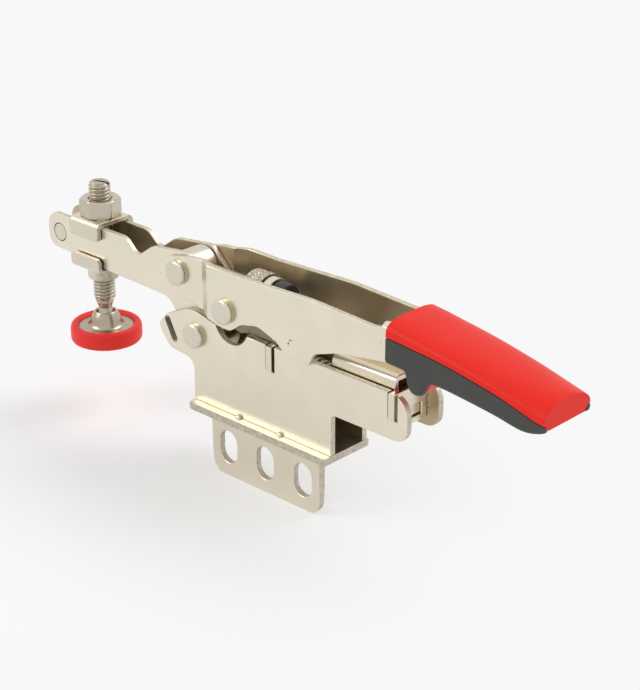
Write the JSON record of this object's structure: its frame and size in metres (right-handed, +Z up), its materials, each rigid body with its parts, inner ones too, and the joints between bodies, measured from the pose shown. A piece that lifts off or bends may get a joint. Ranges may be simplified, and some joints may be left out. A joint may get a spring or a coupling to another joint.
{
  "type": "toggle clamp",
  "caption": "Horizontal toggle clamp with an open arm, adjustable swivel spindle, self-adjusting lock, two-colour grip and a right-angle mounting bracket.",
  "frame": {"origin": "centre of the bracket's horizontal leg on its underside, in the clamp's middle plane, under the middle bolt slot", "axes": "+X along the clamp from the spindle to the grip, +Z up from the leg, Y across the clamp with the bracket's flange on the -Y side"},
  "size_m": [0.174, 0.02, 0.0654],
  "materials": {
    "nickel_steel": "satin nickel plate",
    "spring_steel": "bright wire",
    "grip_red": "smooth moulded",
    "grip_grey": "fine soft-touch",
    "pad_red": "matte moulded",
    "buffer_black": "matte moulded"
  },
  "bodies": {
    "root": {"base_frame": "nickel_steel", "base_bracket": "nickel_steel", "front_lock_plate": "nickel_steel", "rear_lock_plate": "nickel_steel", "lock_cover": "nickel_steel", "base_rivet": "nickel_steel", "return_spring": "spring_steel"},
    "slide": {"slide_bar": "nickel_steel"},
    "arm": {"arm_plate_left": "nickel_steel", "arm_plate_right": "nickel_steel", "arm_tip_rivet": "nickel_steel", "arm_tip_spacer": "nickel_steel", "arm_foot_sleeve": "nickel_steel"},
    "handle": {"handle_frame": "nickel_steel", "grip_core": "grip_red", "grip_inlay_left": "grip_grey", "grip_inlay_right": "grip_grey", "cross_barrel": "nickel_steel", "arm_rivet": "nickel_steel", "link_rivet_left": "nickel_steel", "link_rivet_right": "nickel_steel"},
    "link": {"link_plate_left": "nickel_steel", "link_plate_right": "nickel_steel", "link_stud_left": "nickel_steel", "link_stud_right": "nickel_steel"},
    "adjuster": {"adjusting_screw": "nickel_steel", "screw_collar": "nickel_steel", "screw_buffer": "buffer_black"},
    "carriage": {"upper_saddle": "nickel_steel", "lower_saddle": "nickel_steel"},
    "nut": {"spindle_nut": "nickel_steel"},
    "stem": {"spindle": "nickel_steel"},
    "foot": {"foot_cup": "nickel_steel", "foot_pad": "pad_red"}
  },
  "joints": [
    {"name": "arm_hinge", "type": "hinge", "parent": "root", "child": "arm", "pos_m": [-0.0274, 0, 0.0204], "axis": [0, 1, 0], "range_deg": [0, 77]},
    {"name": "handle_hinge", "type": "hinge", "parent": "arm", "child": "handle", "pos_m": [-0.0336, 0, 0.0363], "axis": [0, 1, 0], "range_deg": [-131, 0]},
    {"name": "link_hinge", "type": "hinge", "parent": "handle", "child": "link", "pos_m": [-0.0145, 0, 0.0314], "axis": [0, 1, 0], "range_deg": [0, 139]},
    {"name": "adjuster_turn", "type": "hinge", "parent": "handle", "child": "adjuster", "pos_m": [-0.0122, 0, 0.0364], "axis": [1, 0, 0], "continuous": true},
    {"name": "carriage_slide", "type": "slide", "parent": "arm", "child": "carriage", "axis": [1, 0, 0], "range_m": [-0.004, 0.006]},
    {"name": "nut_turn", "type": "hinge", "parent": "carriage", "child": "nut", "pos_m": [-0.0712, 0, 0.0437], "axis": [0, 0, 1], "continuous": true},
    {"name": "spindle_feed", "type": "slide", "parent": "carriage", "child": "stem", "axis": [0, 0, 1], "range_m": [-0.006, 0.003]},
    {"name": "foot_swivel", "type": "hinge", "parent": "stem", "child": "foot", "pos_m": [-0.0712, 0, 0.0114], "axis": [0, 1, 0], "range_deg": [-8, 8]},
    {"name": "slide_travel", "type": "slide", "parent": "root", "child": "slide", "axis": [1, 0, 0], "range_m": [0, 0.004], "stiffness_N_per_m": 1500, "deforming": ["return_spring"]}
  ],
  "couplings": [
    {"joint": "handle_hinge", "follows": "arm_hinge", "ratio": -1.6883},
    {"joint": "link_hinge", "follows": "arm_hinge", "ratio": 1.7922}
  ]
}
